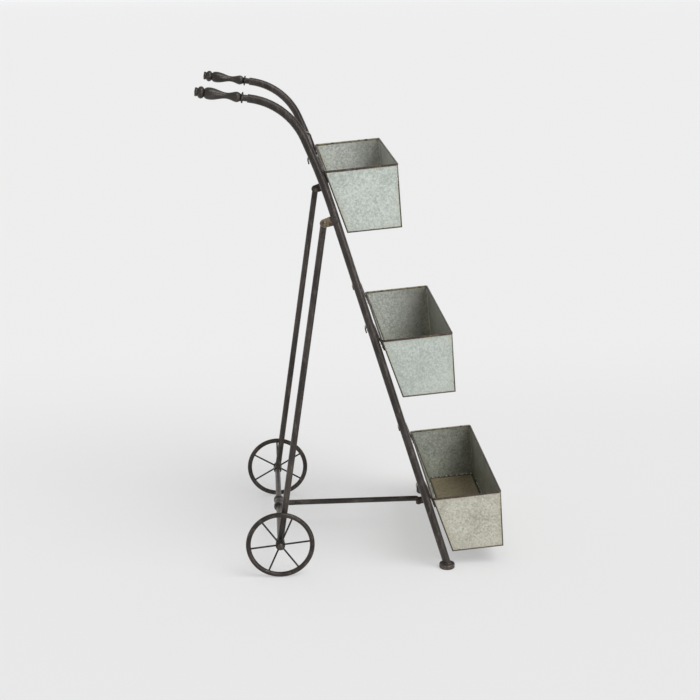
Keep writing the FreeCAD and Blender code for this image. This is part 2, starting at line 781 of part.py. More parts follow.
def tray(along):
    """Folded sheet box with a floor set a little above its lower edge, drilled for the hook rivets."""
    rim = back_rim(along)
    half = sheet / 2
    floor_low = planter_height - floor_inset
    outer = planter_block(rim, 0, planter_height, -half)
    inner = planter_block(rim, -lap, planter_height + lap, half)
    floor = planter_block(rim, floor_low - sheet, floor_low, -floor_seat)
    box = outer.cut(inner).fuse(floor)
    down, behind = wall_directions()
    for side in (-1, 1):
        for place in rivet_places:
            middle = at_x(rim + down * place, side * STRAP_HALF_SPACING)
            box = box.cut(rod(middle - behind * 2 * sheet, middle + behind * 2 * sheet,
                              rivet_diameter / 2 + slip))
    return one_solid(box)


def bead(along):
    """Rolled wire edge round the rim, grooved for the sheet."""
    rim = back_rim(along)
    half = RIM_HALF_WIDTH
    reach = bead_corner * (1 - math.sqrt(0.5))
    path = []
    back = 0
    front = planter_depth
    corners = [(back, -half, 1, 1), (back, half, 1, -1), (front, half, -1, -1), (front, -half, -1, 1)]
    starts = []
    for ahead, x, to_ahead, to_x in corners:
        along_ahead = planter_place(rim, ahead + to_ahead * bead_corner, 0, x)
        along_x = planter_place(rim, ahead, 0, x + to_x * bead_corner)
        corner = planter_place(rim, ahead + to_ahead * reach, 0, x + to_x * reach)
        starts.append((along_ahead, corner, along_x))
    order = [starts[0], starts[1][::-1], starts[2], starts[3][::-1]]
    for here, following in zip(order, order[1:] + order[:1]):
        path.append(arc(*here))
        path.append(Part.makeLine(here[2], following[0]))
    first = order[0][2]
    section = Part.Wire(Part.Circle(first, X_AXIS, BEAD_RADIUS).toShape())
    wire = Part.Wire(path[1:] + path[:1])
    ring_body = wire.makePipe(Part.Face(section))
    half_sheet = sheet / 2
    outer = planter_block(rim, 0, planter_height, -half_sheet)
    inner = planter_block(rim, -lap, planter_height + lap, half_sheet)
    return one_solid(ring_body.cut(outer.cut(inner)))


def tangent_angle(point, centre, radius):
    """Angle on a circle where the line from an outside point meets it, on the side towards the front."""
    away = point - centre
    heading = math.degrees(math.atan2(away.z, away.y)) % 360
    return heading - math.degrees(math.acos(radius / away.Length))


def strap_hook(along, side):
    """Bent strap: tab riveted under the rim, arch over the crossbar, tail behind it."""
    centre = rail_place(along, crossbar_setback) - Vector(0, 0, strap_arch_room - strap_gap)
    rim = back_rim(along)
    down, behind = wall_directions()
    face = sheet / 2
    tab_low = rim + down * tab_bottom + behind * face
    tab_high = rim + down * tab_top + behind * face
    neck = rim + down * strap_neck + behind * (BEAD_RADIUS + bead_gap)
    radius = CROSSBAR_RADIUS + strap_arch_room + strap_thickness
    meet = tangent_angle(neck, centre, radius)
    crown = centre + polar((meet - rail_lean) / 2, radius)
    tail_start = centre + polar(-rail_lean, radius)
    tail_end = tail_start - lean_vector(rail_lean, strap_tail)
    wire = Part.Wire([
        Part.makeLine(tab_low, tab_high),
        Part.makeLine(tab_high, neck),
        Part.makeLine(neck, centre + polar(meet, radius)),
        arc(centre + polar(meet, radius), crown, tail_start),
        Part.makeLine(tail_start, tail_end),
    ])
    strip = wire.makeOffset2D(strap_thickness, 0, True, True, False)
    x = side * STRAP_HALF_SPACING
    strap = plate(strip, x - strap_width / 2, x + strap_width / 2)
    for place in rivet_places:
        middle = at_x(rim + down * place, x)
        strap = strap.cut(rod(middle, middle + behind * 3 * strap_thickness, rivet_diameter / 2 + slip))
    return one_solid(strap)


def rivet(along, side, place):
    """Domed rivet through the planter's back wall and the strap."""
    down, behind = wall_directions()
    middle = at_x(back_rim(along) + down * place, side * STRAP_HALF_SPACING)
    shank = rivet_diameter / 2
    head = rivet_head_diameter / 2
    inner_face = -sheet / 2
    outer_face = sheet / 2 + strap_thickness
    inner_top = inner_face - rivet_head_height
    outer_top = outer_face + rivet_head_height
    profile = [
        Part.makeLine(Vector(0, 0, inner_top), Vector(0, 0, outer_top)),
        arc(*dome(head, outer_face, outer_top)[::-1]),
        Part.makeLine(Vector(head, 0, outer_face), Vector(shank, 0, outer_face)),
        Part.makeLine(Vector(shank, 0, outer_face), Vector(shank, 0, inner_face)),
        Part.makeLine(Vector(shank, 0, inner_face), Vector(head, 0, inner_face)),
        arc(*dome(head, inner_face, inner_top)),
    ]
    return turned(profile, middle, behind)


# ---------------------------------------------------------------- the whole cart


def middle_of_depth():
    """How far the layout moves so that the origin lies below the middle of the cart's depth."""
    toe = planter_depth - planter_front_slope + sheet / 2
    rear = grip(1).BoundBox.YMax
    front = planter_place(back_rim(LEVELS[0]), toe, planter_height).y
    return Vector(0, -(rear + front) / 2, 0)


def pieces():
    """Every piece by its node name."""
    named = {}
    for side, word in ((-1, "left"), (1, "right")):
        named[word + "_rail"] = rail(side)
        named[word + "_grip"] = grip(side)
        named[word + "_foot"] = foot(side)
        named[word + "_leg_lug"] = leg_lug(side)
        named[word + "_leg"] = leg(side)
        named[word + "_wheel_rim"] = wheel_rim(side)
        named[word + "_wheel_spokes"] = wheel_spokes(side)
        named[word + "_wheel_hub"] = wheel_hub(side)
    named["stay_crossbar"] = crossbar(stay_level, STAY_CROSSBAR_RADIUS, 0.0)
    named["stay_ears"] = stay_ears()
    named["stay_pin"] = stay_pin()
    named["stay_bar"] = stay_bar()
    named["stay_hook"] = stay_hook()
    named["pivot_bolts"] = both_sides(pivot_bolt)
    named["pivot_nuts"] = both_sides(pivot_nut)
    named["axle"] = axle()
    named["axle_eyes"] = both_sides(axle_eye)
    named["axle_collars"] = both_sides(axle_collar)
    named["axle_washers"] = both_sides(axle_washer)
    named["axle_caps"] = both_sides(axle_cap)
    for word, along in zip(level_names, LEVELS):
        named[word + "_crossbar"] = crossbar(along)
        named[word + "_planter"] = tray(along)
        named[word + "_planter_bead"] = bead(along)
        named[word + "_planter_hooks"] = both_sides(lambda side: strap_hook(along, side))
        named[word + "_planter_rivets"] = Part.makeCompound(
            [rivet(along, side, place) for side in (-1, 1) for place in rivet_places])
    return named


os.makedirs("parts", exist_ok=True)
shift = middle_of_depth()
for name, shape in pieces().items():
    moved = shape.copy()
    moved.translate(shift)
    moved.exportStep("parts/" + name + ".step")
print("origin moved by %.3f mm; axle y %.3f, pivot y %.3f z %.3f" % (
    shift.y, AXLE.y + shift.y, PIVOT.y + shift.y, PIVOT.z))
print("stay pin y %.3f z %.3f" % (STAY_PIN.y + shift.y, STAY_PIN.z))
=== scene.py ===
import math

import bmesh
import bpy
from mathutils import Matrix, Vector


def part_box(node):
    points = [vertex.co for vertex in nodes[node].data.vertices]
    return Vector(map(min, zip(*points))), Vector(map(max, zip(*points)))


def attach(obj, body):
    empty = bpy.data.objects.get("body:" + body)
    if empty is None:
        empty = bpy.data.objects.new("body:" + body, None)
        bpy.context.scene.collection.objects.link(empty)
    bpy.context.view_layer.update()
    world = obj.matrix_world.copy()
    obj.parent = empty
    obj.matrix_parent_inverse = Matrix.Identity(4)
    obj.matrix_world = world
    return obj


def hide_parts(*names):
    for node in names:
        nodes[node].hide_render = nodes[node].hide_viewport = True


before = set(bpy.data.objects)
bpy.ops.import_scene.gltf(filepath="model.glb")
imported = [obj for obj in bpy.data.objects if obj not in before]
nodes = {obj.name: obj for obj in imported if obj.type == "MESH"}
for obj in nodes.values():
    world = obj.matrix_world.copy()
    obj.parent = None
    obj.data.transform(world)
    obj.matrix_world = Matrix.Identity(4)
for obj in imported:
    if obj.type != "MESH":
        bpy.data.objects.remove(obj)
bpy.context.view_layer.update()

# ---------------------------------------------------------------- studio
# A seamless pale floor with a pale wall far round it, an even white sky, a soft sun above the planters'
# side, a low light that only gleams on metal, and the camera to the left of the cart.

camera_place = Vector((-2.78236, 0.17186, 1.18581))
camera_heading = -3.491          # degrees from +X towards +Y
camera_pitch = 15.4825           # degrees down
camera_roll = -0.640             # degrees
camera_focal = 1354.89           # pixels in a picture 700 wide
picture_width = 700.0
sensor_width = 36.0              # millimetres
camera_reach = 500.0


def camera_turn():
    """The camera's turn from its heading, its pitch and its roll."""
    heading = math.radians(camera_heading)
    pitch = math.radians(camera_pitch)
    roll = math.radians(camera_roll)
    level_ahead = Vector((math.cos(heading), math.sin(heading), 0.0))
    ahead = level_ahead * math.cos(pitch) - Vector((0.0, 0.0, math.sin(pitch)))
    level_right = Vector((math.sin(heading), -math.cos(heading), 0.0))
    level_up = level_right.cross(ahead)
    right = level_right * math.cos(roll) + level_up * math.sin(roll)
    up = level_up * math.cos(roll) - level_right * math.sin(roll)
    return Matrix((right, up, -ahead)).transposed().to_4x4()


lens = bpy.data.cameras.new("camera")
lens.sensor_width = sensor_width
lens.lens = camera_focal * sensor_width / picture_width
lens.clip_end = camera_reach
camera = bpy.data.objects.new("camera", lens)
camera.matrix_world = Matrix.Translation(camera_place) @ camera_turn()
bpy.context.collection.objects.link(camera)
bpy.context.scene.camera = camera
bpy.context.scene.view_settings.view_transform = "Standard"


def linear(*tone):
    """Shader colour from a tone as the eye reads it, 0 to 255."""
    parts = []
    for value in tone:
        share = value / 255.0
        parts.append(share / 12.92 if share <= 0.04045 else ((share + 0.055) / 1.055) ** 2.4)
    return (*parts, 1.0)


floor_reach = 150.0
sky_strength = 0.56
sun_from = Vector((-0.60, -0.68, 1.25))
sun_width = 38.0                 # degrees
sun_strength = 1.42
gleam_from = Vector((-0.80, -0.60, 0.08))
gleam_width = 18.0               # degrees
gleam_strength = 1.2

sky = bpy.data.worlds.new("sky")
sky.use_nodes = True
sky.node_tree.nodes["Background"].inputs["Color"].default_value = (1.0, 1.0, 1.0, 1.0)
sky.node_tree.nodes["Background"].inputs["Strength"].default_value = sky_strength
bpy.context.scene.world = sky


def distant_light(name, comes_from, width, strength):
    """Light from very far off, as wide as a soft box."""
    lamp = bpy.data.lights.new(name, "SUN")
    lamp.angle = math.radians(width)
    lamp.energy = strength
    made = bpy.data.objects.new(name, lamp)
    made.matrix_world = comes_from.to_track_quat("Z", "Y").to_matrix().to_4x4()
    bpy.context.collection.objects.link(made)
    return made


distant_light("soft_sun", sun_from, sun_width, sun_strength)
gleam = distant_light("gleam", gleam_from, gleam_width, gleam_strength)
gleam.visible_diffuse = False


def finished_object(name, mesh_maker, finishes, smooth_angle=None):
    """Object whose place is in its mesh, from a bmesh, with its finishes in slots."""
    mesh = bpy.data.meshes.new(name)
    mesh_maker.to_mesh(mesh)
    mesh_maker.free()
    for finish in finishes:
        mesh.materials.append(finish)
    if smooth_angle is not None:
        mesh.shade_smooth()
        mesh.set_sharp_from_angle(angle=math.radians(smooth_angle))
    made = bpy.data.objects.new(name, mesh)
    bpy.context.collection.objects.link(made)
    return made


class Value:
    """A socket of a finish. Arithmetic on it adds the Math nodes of the expression."""

    def __init__(self, finish, socket):
        self.finish = finish
        self.socket = socket

    def math(self, operation, *others):
        sockets = dict(enumerate((self, *others)))
        return self.finish.node("Math", {"operation": operation}, sockets)

    def __add__(self, other):
        return self.math("ADD", other)

    __radd__ = __add__

    def __mul__(self, other):
        return self.math("MULTIPLY", other)

    __rmul__ = __mul__

    def __sub__(self, other):
        return self.math("SUBTRACT", other)

    def __rsub__(self, other):
        return self * -1.0 + other


class Finish:
    """A procedural surface: its nodes are added one by one and fed to one Principled shader."""

    def __init__(self, name, metallic=0.0, specular=0.5):
        self.material = bpy.data.materials.new(name)
        self.material.use_nodes = True
        self.tree = self.material.node_tree
        self.shader = self.tree.nodes["Principled BSDF"]
        self.shader.inputs["Metallic"].default_value = metallic
        self.shader.inputs["Specular IOR Level"].default_value = specular

    def feed(self, socket, value):
        if isinstance(value, Value):
            self.tree.links.new(value.socket, socket)
        else:
            socket.default_value = value

    def node(self, kind, settings, sockets, output=0):
        """Adds a node: its settings first, then the values or links of its sockets."""
        made = self.tree.nodes.new("ShaderNode" + kind)
        for name, value in settings.items():
            setattr(made, name, value)
        for name, value in sockets.items():
            self.feed(made.inputs[name], value)
        return Value(self, made.outputs[output])

    def place(self, stretch=(1.0, 1.0, 1.0)):
        """Object coordinates in metres, stretched along an axis where a grain runs."""
        seen = self.node("TexCoord", {}, {}, "Object")
        return self.node("Mapping", {}, {"Vector": seen, "Scale": stretch})

    def cloud(self, place, scale, detail=3.0, roughness=0.55):
        sockets = {"Vector": place, "Scale": scale, "Detail": detail, "Roughness": roughness}
        return self.node("TexNoise", {}, sockets, "Fac")

    def rise(self, value, low, high):
        """0 below the low value, 1 above the high one, and smooth between them."""
        sockets = {"Value": value, "From Min": low, "From Max": high}
        return self.node("MapRange", {"interpolation_type": "SMOOTHSTEP"}, sockets, "Result")

    def mix(self, share, low, high):
        return self.node("Mix", {"data_type": "RGBA"}, {0: share, 6: low, 7: high}, 2)

    def done(self, colour, roughness, bump=None, depth=0.0, strength=1.0):
        """Feeds the shader and hands back the material."""
        self.feed(self.shader.inputs["Base Color"], colour)
        self.feed(self.shader.inputs["Roughness"], roughness)
        if bump is not None:
            sockets = {"Height": bump, "Distance": depth, "Strength": strength}
            self.feed(self.shader.inputs["Normal"], self.node("Bump", {}, sockets, "Normal"))
        return self.material


# The floor is painted a little darker about the cart and paler far beyond it: painted shade and light of the
# studio's sweep.
floor_near = linear(177, 177, 177)
floor_far = linear(184, 184, 184)
floor_glow = 0.40
floor_roughness = 0.9
floor_turns = (0.5, 1.6)         # where its near tone ends and its far tone begins, to the right of the cart


def floor_finish():
    """Matt seamless studio floor, which glows a little, so that shadows on it stay pale."""
    finish = Finish("studio_floor", specular=0.0)
    across = finish.node("SeparateXYZ", {}, {"Vector": finish.place()}, "X")
    distance = finish.rise(across, *floor_turns)
    finish.shader.inputs["Emission Color"].default_value = (1.0, 1.0, 1.0, 1.0)
    finish.shader.inputs["Emission Strength"].default_value = floor_glow
    return finish.done(finish.mix(distance, floor_near, floor_far), floor_roughness)


floor_maker = bmesh.new()
bmesh.ops.create_grid(floor_maker, x_segments=1, y_segments=1, size=floor_reach)
finished_object("studio_floor", floor_maker, [floor_finish()])

backdrop_radius = 80.0
backdrop_height = 20.6
backdrop_sides = 64
backdrop_glow = 0.84             # as bright as the far floor looks


def backdrop_finish():
    """Evenly lit pale wall."""
    finish = Finish("studio_backdrop", specular=0.0)
    finish.shader.inputs["Emission Color"].default_value = (1.0, 1.0, 1.0, 1.0)
    finish.shader.inputs["Emission Strength"].default_value = backdrop_glow
    return finish.done((0.0, 0.0, 0.0, 1.0), floor_roughness)


backdrop_maker = bmesh.new()
bmesh.ops.create_circle(backdrop_maker, segments=backdrop_sides, radius=backdrop_radius)
raised = bmesh.ops.extrude_edge_only(backdrop_maker, edges=backdrop_maker.edges[:])["geom"]
raised_verts = [item for item in raised if isinstance(item, bmesh.types.BMVert)]
bmesh.ops.translate(backdrop_maker, vec=(0.0, 0.0, backdrop_height), verts=raised_verts)
backdrop = finished_object("studio_backdrop", backdrop_maker, [backdrop_finish()])
backdrop.visible_shadow = False

# ---------------------------------------------------------------- rails and crossbars
# Two steel tubes, bent to the rear at the top, joined by four welded bars. They are painted a dark
# antique bronze that was rubbed back, so browner and greyer metal shows in long soft streaks.

paint_patches = 34.0             # clouds a metre, as for the next four
paint_rubs = 110.0
paint_scuffs = 260.0
paint_pits = 900.0
paint_breaks = 90.0
paint_relief = 0.0005            # metres
scuff_gloss = 0.24
grain = 0.30                     # how far a streak is drawn out along a tube: its clouds are this much fewer


def bronze(name, dark, middle, warm, roughness, streak=(1.0, 1.0, 1.0), specular=0.5, metallic=0.35,
           lighter_part=None):
    """Antique bronze paint: dark in the hollows, browner where it was rubbed, with fine pits. The lighter
    part, if there is one, lies beyond a plane: its direction, where it begins and ends, and its tone."""
    finish = Finish(name, metallic, specular)
    place = finish.place()
    along = finish.place(streak)
    patches = finish.rise(finish.cloud(along, paint_patches, 4.0), 0.38, 0.62)
    rubbed = finish.rise(finish.cloud(along, paint_rubs, 5.0, 0.65), 0.50, 0.70)
    pits = finish.cloud(place, paint_pits, 2.0)
    scuffs = finish.cloud(place, paint_scuffs, 4.0, 0.7)
    colour = finish.mix(patches, dark, middle)
    colour = finish.mix(rubbed * 0.85, colour, warm)
    if lighter_part is not None:
        direction, begins, ends, tone = lighter_part
        beyond = finish.node("VectorMath", {"operation": "DOT_PRODUCT"}, {0: place, 1: direction}, "Value")
        broken = finish.rise(finish.cloud(place, paint_breaks, 3.0), 0.34, 0.52)
        colour = finish.mix(finish.rise(beyond, begins, ends) * broken, colour, tone)
    gloss = roughness + scuffs * scuff_gloss - scuff_gloss / 2 + rubbed * 0.06
    return finish.done(colour, gloss, pits * 0.4 + scuffs, paint_relief, 0.7)


rail_finish = bronze("rail_bronze", linear(40, 35, 31), linear(57, 51, 47), linear(88, 78, 71), 0.33,
                     streak=(1.0, 1.0, grain))
for name in ("left_rail", "right_rail"):
    nodes[name].material_slots[0].material = rail_finish

crossbar_finish = bronze("crossbar_bronze", linear(50, 45, 42), linear(70, 63, 59), linear(94, 84, 76), 0.40,
                         streak=(grain, 1.0, 1.0))
for name in ("stay_crossbar", "bottom_crossbar", "middle_crossbar", "top_crossbar"):
    nodes[name].material_slots[0].material = crossbar_finish

# ---------------------------------------------------------------- welds
# Small uneven beads of weld where the crossbars and the rails meet, and where the rails stand on
# their feet. They are painted over with the rest, a little brighter.

rail_half_spacing = 0.213
rail_radius = 0.008
rail_lean = math.radians(17.0)
weld_sides = 8
ripple_steps = 4                 # places round the ring for each ripple
weld_ripple = 0.16
weld_wander = 0.05
crossbar_weld = 0.0013
crossbar_ripples = 15
crossbar_sink = 0.86             # share of the rail's radius at which the bead lies
foot_weld = 0.0015
foot_ripples = 14
foot_weld_lift = 0.0006
foot_weld_gap = 0.0004
weld_smooth = 60.0               # degrees
weld_finish = bronze("weld_bronze", linear(50, 44, 40), linear(74, 66, 60), linear(108, 96, 84), 0.38)


def rail_point(name):
    """Where a crossbar's middle line crosses the middle of a rail, in the side plane."""
    low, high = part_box(name)
    return Vector((0.0, (low.y + high.y) / 2, (low.z + high.z) / 2))


def weld_ring(mesh_maker, middle, axis, radius, thickness, ripples):
    """Closed ring of rippled bead around an axis."""
    section = bmesh.ops.create_circle(mesh_maker, segments=weld_sides, radius=thickness)["verts"]
    turn = Matrix.Translation((radius, 0.0, 0.0)) @ Matrix.Rotation(math.radians(90.0), 4, "X")
    bmesh.ops.transform(mesh_maker, matrix=turn, verts=section)
    edges = list({edge for vert in section for edge in vert.link_edges})
    bmesh.ops.spin(mesh_maker, geom=section + edges, cent=(0.0, 0.0, 0.0), axis=(0.0, 0.0, 1.0),
                   angle=math.radians(360.0), steps=ripples * ripple_steps, use_merge=True)
    verts = [vert for vert in mesh_maker.verts if not vert.tag]
    for vert in verts:
        angle = math.atan2(vert.co.y, vert.co.x)
        swell = 1.0 + weld_ripple * math.sin(angle * ripples) + weld_wander * math.sin(angle * 5.0 + 1.0)
        ring_middle = Vector((math.cos(angle), math.sin(angle), 0.0)) * radius
        vert.co = ring_middle + (vert.co - ring_middle) * swell
        vert.tag = True
    facing = Vector((0.0, 0.0, 1.0)).rotation_difference(axis).to_matrix().to_4x4()
    bmesh.ops.transform(mesh_maker, matrix=Matrix.Translation(middle) @ facing, verts=verts)


def crossbar_welds():
    made = bmesh.new()
    for name in ("stay_crossbar", "bottom_crossbar", "middle_crossbar", "top_crossbar"):
        low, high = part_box(name)
        radius = (high.z - low.z) / 2
        for side in (-1, 1):
            middle = rail_point(name)
            middle.x = side * (rail_half_spacing - rail_radius * crossbar_sink)
            weld_ring(made, middle, Vector((side, 0.0, 0.0)), radius, crossbar_weld, crossbar_ripples)
    bmesh.ops.recalc_face_normals(made, faces=made.faces)
    return finished_object("crossbar_welds", made, [weld_finish], weld_smooth)


welds = crossbar_welds()
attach(welds, "frame")

# ---------------------------------------------------------------- feet
# A turned steel disc under each rail, with rounded edges, in a lighter bronze.

foot_finish = bronze("foot_bronze", linear(54, 48, 44), linear(78, 70, 66), linear(108, 97, 90), 0.40)
for name in ("left_foot", "right_foot"):
    nodes[name].material_slots[0].material = foot_finish


def foot_welds():
    """Bead round each rail where it stands on its foot."""
    made = bmesh.new()
    for side in (-1, 1):
        low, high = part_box("left_foot" if side < 0 else "right_foot")
        middle = Vector((side * rail_half_spacing, (low.y + high.y) / 2, high.z + foot_weld_lift))
        upwards = Vector((0.0, 0.0, 1.0))
        weld_ring(made, middle, upwards, rail_radius + foot_weld_gap, foot_weld, foot_ripples)
    bmesh.ops.recalc_face_normals(made, faces=made.faces)
    return finished_object("foot_welds", made, [weld_finish], weld_smooth)


welds = foot_welds()
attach(welds, "frame")

# ---------------------------------------------------------------- grips
# Turned metal handles with a collar, a waist, a bulb, a ball and a button. Their tangs are driven into
# the ends of the rails. Faint streaks run along them, and hands have worn them browner.

grip_finish = bronze("grip_bronze", linear(38, 33, 30), linear(52, 47, 43), linear(88, 80, 72), 0.31,
                     streak=(1.0, 0.35, 1.0), specular=0.55)
for name in ("left_grip", "right_grip"):
    nodes[name].material_slots[0].material = grip_finish

# ---------------------------------------------------------------- legs, lugs and pivots
# Steel tubes flattened and drilled at the top. Each hangs on a domed bolt in a plate lug that is welded
# to the outside of its rail. The left plate is yellower behind its rail, and the right plate has the darker
# crossbar finish. The bolts are rubbed.

leg_finish = bronze("leg_bronze", linear(44, 39, 36), linear(68, 61, 56), linear(94, 84, 76), 0.32,
                    streak=(1.0, 1.0, grain))
for name in ("left_leg", "right_leg"):
    nodes[name].material_slots[0].material = leg_finish

behind_rail = Vector((0.0, math.cos(rail_lean), -math.sin(rail_lean)))
rail_back = rail_point("middle_crossbar").dot(behind_rail) + rail_radius
lug_fade = 0.003                 # metres
lug_finish = bronze("lug_bronze", linear(46, 41, 38), linear(66, 59, 54), linear(92, 82, 74), 0.36,
                    lighter_part=(behind_rail, rail_back, rail_back + lug_fade, linear(124, 108, 82)))
fastener_finish = bronze("fastener_bronze", linear(58, 52, 47), linear(92, 84, 75), linear(150, 140, 124),
                         0.27, metallic=0.7)
for name in ("pivot_bolts", "pivot_nuts", "stay_pin"):
    nodes[name].material_slots[0].material = fastener_finish

merge_distance = 0.00001
flat_angle = math.radians(1.0)
sharp_angle = math.radians(35.0)
crease_angle = 30.0              # degrees
lug_edge = 0.0005


def eased_copy(node, edge, finish, body):
    """A node's own shape with its sharp edges eased, which takes the node's place."""
    made = bmesh.new()
    made.from_mesh(nodes[node].data)
    bmesh.ops.remove_doubles(made, verts=made.verts, dist=merge_distance)
    bmesh.ops.dissolve_limit(made, angle_limit=flat_angle, verts=made.verts, edges=made.edges)
    sharp = [line for line in made.edges if line.is_manifold and line.calc_face_angle() > sharp_angle]
    bmesh.ops.bevel(made, geom=sharp, offset=edge, offset_type="OFFSET", segments=2, profile=0.5,
                    affect="EDGES", clamp_overlap=True, material=-1)
    copy = finished_object(node + "_eased", made, [finish], crease_angle)
    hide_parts(node)
    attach(copy, body)
    return copy


for name, finish in (("left_leg_lug", lug_finish), ("right_leg_lug", crossbar_finish)):
    eased_copy(name, lug_edge, finish, "frame")

# ---------------------------------------------------------------- axle
# A turned bar with an eye for each leg, two collars that keep the stay's hook in the middle, washers
# and domed end caps, all in the same rubbed bronze.

axle_finish = bronze("axle_bronze", linear(56, 50, 46), linear(84, 78, 72), linear(118, 110, 102), 0.33,
                     streak=(grain, 1.0, 1.0))
for name in ("axle", "axle_eyes", "axle_collars", "axle_washers", "axle_caps"):
    nodes[name].material_slots[0].material = axle_finish

# ---------------------------------------------------------------- wheels
# Round bar rims with six thin round spokes set in a waisted hub. The rims are rubbed,
# and the spokes are darker.

wheel_finish = bronze("wheel_bronze", linear(39, 33, 30), linear(57, 49, 44), linear(88, 77, 68), 0.34)
spoke_finish = bronze("spoke_bronze", linear(26, 22, 20), linear(38, 33, 30), linear(62, 54, 48), 0.42)
for side in ("left", "right"):
    nodes[side + "_wheel_rim"].material_slots[0].material = wheel_finish
    nodes[side + "_wheel_hub"].material_slots[0].material = spoke_finish
    nodes[side + "_wheel_spokes"].material_slots[0].material = spoke_finish

# ---------------------------------------------------------------- stay
# A round bar whose front end is bent down and pinned between two ears. A flat hook is welded to its rear
# end, and drops over the axle.

stay_finish = bronze("stay_bronze", linear(42, 37, 34), linear(62, 56, 52), linear(96, 86, 79), 0.33,
                     streak=(1.0, grain, 1.0))
nodes["stay_bar"].material_slots[0].material = stay_finish
stay_hook_edge = 0.0006
eased_copy("stay_hook", stay_hook_edge, stay_finish, "stay")
ear_finish = bronze("ear_bronze", linear(62, 53, 42), linear(88, 75, 58), linear(122, 106, 80), 0.40)
eased_copy("stay_ears", lug_edge, ear_finish, "frame")

# ---------------------------------------------------------------- planters
# Troughs folded from galvanised sheet, with a floor soldered in a little above the lower edge, lapped
# corners inside, and a wired rim painted dark bronze. Handling has left a yellow-brown patina on the edges.

planter_tilt = math.radians(4.8)
planter_depth = 0.1399
planter_height = 0.1235
planter_back_slope = 0.0327
planter_front_slope = 0.0011
planter_rim_half = 0.2132
planter_floor_half = 0.2040
planter_sheet = 0.001
floor_height = 0.0055
bead_radius = 0.0018
edge_band = 0.004
patina_band = 0.020
stain_and_shade_edge = 1.35                # edge value at the lower and the back edges: stained, and darkened further with painted shade where the sheet turns from the light
band_edge = 0.5                  # edge value where the edge band ends
least_wall = 0.004               # square metres, less than a wall and more than an inset band
corner_fold = 0.0009
lap_width = 0.007
lap_thickness = 0.0009
lap_inset = 0.004
lap_seat = planter_sheet * 0.6
lap_ease = lap_thickness * 0.3
# share of the painted shade on the laps in the front corners
lap_front_shade = 0.45
floor_gap = planter_sheet * 0.55
floor_thickness = 0.003
solder_width = 0.0016
solder_height = 0.0022
solder_reach = 0.0018            # height above the floor plate's underside at which the solder begins
drift_scale = 22.0               # clouds a metre, as for the next three
bloom_scale = 190.0
speck_scale = 560.0
flake_scale = 260.0
bloom_gloss = 0.30
nearly_level = 0.9               # least upward part of a level face's normal
steep = 0.6                      # greatest upward part of a wall's normal
levels = ("bottom", "middle", "top")


def zinc(name, pale, grey, patina, stain, roughness, metallic, painted_shade=0.0):
    """Dull galvanised sheet: mottled spangle, a yellowed band near the edges, a brown line along them, and
    painted shade: a darkening inside towards the front wall, in the share that the last argument gives.
    Dull galvanised sheet: mottled spangle, a yellowed band near the edges, a brown line along them, and a
    darkening towards the front, where a share of dirt is given (dirt or shade, it can't be told)."""
    finish = Finish(name, metallic, 0.45)
    place = finish.place()
    edge = finish.node("Attribute", {"attribute_name": "edge"}, {}, "Fac")
    drift = finish.cloud(place, drift_scale, 4.0, 0.6)
    bloom = finish.cloud(place, bloom_scale, 4.0, 0.65)
    speck = finish.cloud(place, speck_scale, 3.0, 0.6)
    cells = {"Vector": place, "Scale": flake_scale, "Randomness": 1.0}
    spangle = finish.node("TexVoronoi", {"feature": "F1"}, cells, "Color")
    flake = finish.node("SeparateColor", {}, {"Color": spangle}, "Red")
    shade = drift * 0.6 + bloom * 1.1 + speck * 1.2 + flake * 0.26
    colour = finish.mix(finish.rise(shade, 1.20, 1.96), grey, pale)
    # Painted shade of the front wall inside the trough: darkest at the front wall, mottled a little.
    front_shade = finish.node("Attribute", {"attribute_name": "front_shade"}, {}, "Fac")
    front_shaded = finish.rise(front_shade + bloom * 0.3, 0.45, 1.15)
    colour = finish.mix(front_shaded * painted_shade, colour, painted_shade_tone)
    yellowed = finish.rise(edge * 0.9 + bloom * 1.6 + drift * 1.4, 1.72, 2.5)
    colour = finish.mix(yellowed * 0.75, colour, patina)
    # brown line along the edges: stain, deepened with painted shade at the lower and back edges
    line = finish.rise(edge + speck * 0.5, 0.96, 1.14)
    spots = finish.rise(edge * 0.8 + bloom * 1.4 + speck * 0.4, 1.54, 1.70)
    browned = finish.node("Math", {"operation": "MAXIMUM"}, {0: line, 1: spots})
    colour = finish.mix(browned * 0.92, colour, stain)
    gloss = roughness + bloom * bloom_gloss - bloom_gloss / 2 + browned * 0.1
    return finish.done(colour, gloss, flake * 0.3 + speck * 0.6 + bloom * 1.2, paint_relief, 0.45)


zinc_tones = {
    "top": (linear(218, 225, 218), linear(170, 179, 171), linear(188, 184, 156)),
    "middle": (linear(209, 216, 210), linear(168, 177, 169), linear(182, 178, 150)),
    "bottom": (linear(212, 211, 198), linear(162, 160, 144), linear(180, 169, 138)),
}
stain_tone = linear(56, 46, 38)
# colour of the painted shade that darkens the insides towards their front walls
painted_shade_tone = linear(70, 62, 44)
inside_tones = {
    "top": (linear(240, 245, 240), linear(178, 182, 174), linear(188, 184, 160)),
    "middle": (linear(238, 243, 237), linear(174, 178, 170), linear(186, 182, 158)),
    "bottom": (linear(208, 212, 202), linear(142, 145, 134), linear(158, 152, 126)),
}
# share of that painted shade on the inside of each level
inside_painted_shade = {"top": 0.52, "middle": 0.68, "bottom": 0.54}
floor_pale = linear(160, 149, 122)
floor_grey = linear(122, 112, 88)


def rim_corner(level):
    """Middle of the planter's back rim, taken from the box of its bead."""
    low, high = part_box(level + "_planter_bead")
    return Vector((0.0, high.y - bead_radius, low.z + bead_radius))


def hang(made, level):
    """Tilts a planter's shape, made level from its back rim, and moves it to its crossbar."""
    matrix = Matrix.Translation(rim_corner(level)) @ Matrix.Rotation(-planter_tilt, 4, "X")
    bmesh.ops.transform(made, matrix=matrix, verts=made.verts)


